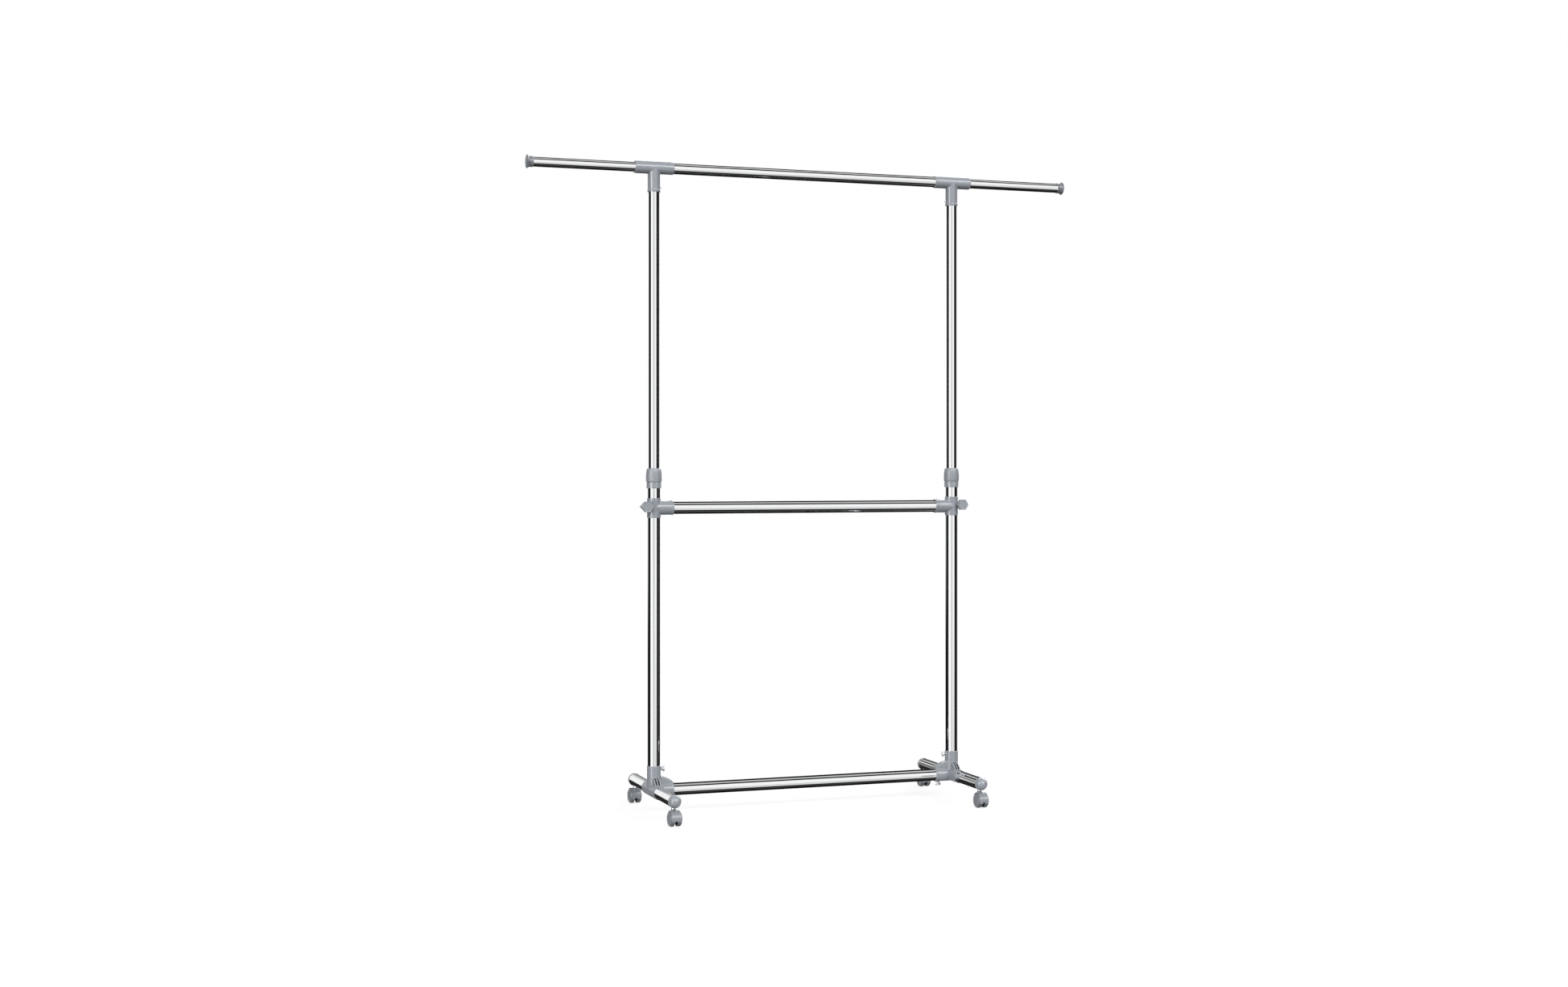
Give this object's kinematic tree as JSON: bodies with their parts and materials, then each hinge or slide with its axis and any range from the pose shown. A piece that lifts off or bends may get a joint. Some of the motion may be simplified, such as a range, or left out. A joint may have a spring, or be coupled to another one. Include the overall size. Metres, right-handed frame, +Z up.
{
  "type": "rolling clothes rack",
  "caption": "Rolling garment rack of chrome tubes with telescoping uprights, a top rail with pull-out end rods, a sliding lower hanging rail and castered legs.",
  "frame": {"origin": "on the floor, under the middle of the rack", "axes": "+Z up; X along the rails, +X to the right seen from the front; -Y towards the front, where the clamp knobs face"},
  "size_m": [1.514, 0.4212, 1.6894],
  "materials": {
    "polished_chrome": "polished",
    "grey_plastic": "satin moulded",
    "wheel_plastic": "satin moulded",
    "dark_plastic": "matte moulded",
    "zinc_steel": "zinc plated"
  },
  "bodies": {
    "base": {"leg_bar_left": "polished_chrome", "leg_bar_right": "polished_chrome", "leg_cap_front_left": "grey_plastic", "leg_cap_front_right": "grey_plastic", "leg_cap_back_left": "grey_plastic", "leg_cap_back_right": "grey_plastic", "base_connector_left": "grey_plastic", "base_connector_right": "grey_plastic", "bottom_crossbar": "polished_chrome", "lower_upright_left": "polished_chrome", "lower_upright_right": "polished_chrome", "collar_base_left": "grey_plastic", "collar_base_right": "grey_plastic", "lock_collets": "grey_plastic", "caster_stems": "zinc_steel"},
    "upper_frame": {"upper_upright_left": "polished_chrome", "upper_upright_right": "polished_chrome", "guide_plugs": "dark_plastic", "top_tee_left": "grey_plastic", "top_tee_right": "grey_plastic", "top_rail": "polished_chrome", "tee_screws": "zinc_steel"},
    "middle_rail": {"mid_rail": "polished_chrome", "mid_connector_left": "grey_plastic", "mid_connector_right": "grey_plastic", "mid_socket_screws": "zinc_steel", "clamp_nuts": "zinc_steel"},
    "twist_nut_left": {"twist_nut_left": "grey_plastic"},
    "rod_left": {"extension_rod_left": "polished_chrome", "rod_guide_left": "dark_plastic", "rod_end_cap_left": "grey_plastic"},
    "clamp_knob_left": {"clamp_knob_left": "grey_plastic", "clamp_bolt_left": "zinc_steel"},
    "wing_screw_upright_left": {"wing_screw_upright_left": "zinc_steel"},
    "wing_screw_crossbar_left": {"wing_screw_crossbar_left": "zinc_steel"},
    "twist_nut_right": {"twist_nut_right": "grey_plastic"},
    "rod_right": {"extension_rod_right": "polished_chrome", "rod_guide_right": "dark_plastic", "rod_end_cap_right": "grey_plastic"},
    "clamp_knob_right": {"clamp_knob_right": "grey_plastic", "clamp_bolt_right": "zinc_steel"},
    "wing_screw_upright_right": {"wing_screw_upright_right": "zinc_steel"},
    "wing_screw_crossbar_right": {"wing_screw_crossbar_right": "zinc_steel"},
    "caster_front_left": {"caster_hood_front_left": "grey_plastic", "caster_axle_front_left": "zinc_steel"},
    "outer_wheel_front_left": {"outer_wheel_front_left": "wheel_plastic"},
    "inner_wheel_front_left": {"inner_wheel_front_left": "wheel_plastic"},
    "caster_front_right": {"caster_hood_front_right": "grey_plastic", "caster_axle_front_right": "zinc_steel"},
    "outer_wheel_front_right": {"outer_wheel_front_right": "wheel_plastic"},
    "inner_wheel_front_right": {"inner_wheel_front_right": "wheel_plastic"},
    "caster_back_left": {"caster_hood_back_left": "grey_plastic", "caster_axle_back_left": "zinc_steel"},
    "outer_wheel_back_left": {"outer_wheel_back_left": "wheel_plastic"},
    "inner_wheel_back_left": {"inner_wheel_back_left": "wheel_plastic"},
    "caster_back_right": {"caster_hood_back_right": "grey_plastic", "caster_axle_back_right": "zinc_steel"},
    "outer_wheel_back_right": {"outer_wheel_back_right": "wheel_plastic"},
    "inner_wheel_back_right": {"inner_wheel_back_right": "wheel_plastic"}
  },
  "joints": [
    {"name": "height_slide", "type": "slide", "parent": "base", "child": "upper_frame", "axis": [0, 0, 1], "range_m": [-0.6, 0]},
    {"name": "middle_rail_slide", "type": "slide", "parent": "base", "child": "middle_rail", "axis": [0, 0, 1], "range_m": [-0.6, 0.02]},
    {"name": "twist_nut_turn_left", "type": "hinge", "parent": "base", "child": "twist_nut_left", "pos_m": [-0.4205, 0, 0.874], "axis": [0, 0, 1], "range_deg": [0, 180]},
    {"name": "rod_slide_left", "type": "slide", "parent": "upper_frame", "child": "rod_left", "axis": [-1, 0, 0], "range_m": [-0.25, 0]},
    {"name": "clamp_knob_turn_left", "type": "hinge", "parent": "middle_rail", "child": "clamp_knob_left", "pos_m": [-0.4434, 0, 0.7954], "axis": [0, -1, 0], "range_deg": [0, 270]},
    {"name": "wing_screw_upright_turn_left", "type": "hinge", "parent": "base", "child": "wing_screw_upright_left", "pos_m": [-0.4205, 0, 0.117], "axis": [1, 0, 0], "range_deg": [0, 270]},
    {"name": "wing_screw_crossbar_turn_left", "type": "hinge", "parent": "base", "child": "wing_screw_crossbar_left", "pos_m": [-0.381, 0, 0.062], "axis": [0, 0, -1], "range_deg": [0, 270]},
    {"name": "twist_nut_turn_right", "type": "hinge", "parent": "base", "child": "twist_nut_right", "pos_m": [0.4205, 0, 0.874], "axis": [0, 0, 1], "range_deg": [0, 180]},
    {"name": "rod_slide_right", "type": "slide", "parent": "upper_frame", "child": "rod_right", "axis": [1, 0, 0], "range_m": [-0.25, 0]},
    {"name": "clamp_knob_turn_right", "type": "hinge", "parent": "middle_rail", "child": "clamp_knob_right", "pos_m": [0.4434, 0, 0.7954], "axis": [0, -1, 0], "range_deg": [0, 270]},
    {"name": "wing_screw_upright_turn_right", "type": "hinge", "parent": "base", "child": "wing_screw_upright_right", "pos_m": [0.4205, 0, 0.117], "axis": [-1, 0, 0], "range_deg": [0, 270]},
    {"name": "wing_screw_crossbar_turn_right", "type": "hinge", "parent": "base", "child": "wing_screw_crossbar_right", "pos_m": [0.381, 0, 0.062], "axis": [0, 0, -1], "range_deg": [0, 270]},
    {"name": "caster_swivel_front_left", "type": "hinge", "parent": "base", "child": "caster_front_left", "pos_m": [-0.4205, -0.18, 0.04], "axis": [0, 0, 1], "continuous": true},
    {"name": "outer_wheel_roll_front_left", "type": "hinge", "parent": "caster_front_left", "child": "outer_wheel_front_left", "pos_m": [-0.4205, -0.1895, 0.019], "axis": [1, 0, 0], "continuous": true},
    {"name": "inner_wheel_roll_front_left", "type": "hinge", "parent": "caster_front_left", "child": "inner_wheel_front_left", "pos_m": [-0.4205, -0.1895, 0.019], "axis": [1, 0, 0], "continuous": true},
    {"name": "caster_swivel_front_right", "type": "hinge", "parent": "base", "child": "caster_front_right", "pos_m": [0.4205, -0.18, 0.04], "axis": [0, 0, 1], "continuous": true},
    {"name": "outer_wheel_roll_front_right", "type": "hinge", "parent": "caster_front_right", "child": "outer_wheel_front_right", "pos_m": [0.4205, -0.1895, 0.019], "axis": [1, 0, 0], "continuous": true},
    {"name": "inner_wheel_roll_front_right", "type": "hinge", "parent": "caster_front_right", "child": "inner_wheel_front_right", "pos_m": [0.4205, -0.1895, 0.019], "axis": [1, 0, 0], "continuous": true},
    {"name": "caster_swivel_back_left", "type": "hinge", "parent": "base", "child": "caster_back_left", "pos_m": [-0.4205, 0.18, 0.04], "axis": [0, 0, 1], "continuous": true},
    {"name": "outer_wheel_roll_back_left", "type": "hinge", "parent": "caster_back_left", "child": "outer_wheel_back_left", "pos_m": [-0.4205, 0.1895, 0.019], "axis": [1, 0, 0], "continuous": true},
    {"name": "inner_wheel_roll_back_left", "type": "hinge", "parent": "caster_back_left", "child": "inner_wheel_back_left", "pos_m": [-0.4205, 0.1895, 0.019], "axis": [1, 0, 0], "continuous": true},
    {"name": "caster_swivel_back_right", "type": "hinge", "parent": "base", "child": "caster_back_right", "pos_m": [0.4205, 0.18, 0.04], "axis": [0, 0, 1], "continuous": true},
    {"name": "outer_wheel_roll_back_right", "type": "hinge", "parent": "caster_back_right", "child": "outer_wheel_back_right", "pos_m": [0.4205, 0.1895, 0.019], "axis": [1, 0, 0], "continuous": true},
    {"name": "inner_wheel_roll_back_right", "type": "hinge", "parent": "caster_back_right", "child": "inner_wheel_back_right", "pos_m": [0.4205, 0.1895, 0.019], "axis": [1, 0, 0], "continuous": true}
  ]
}
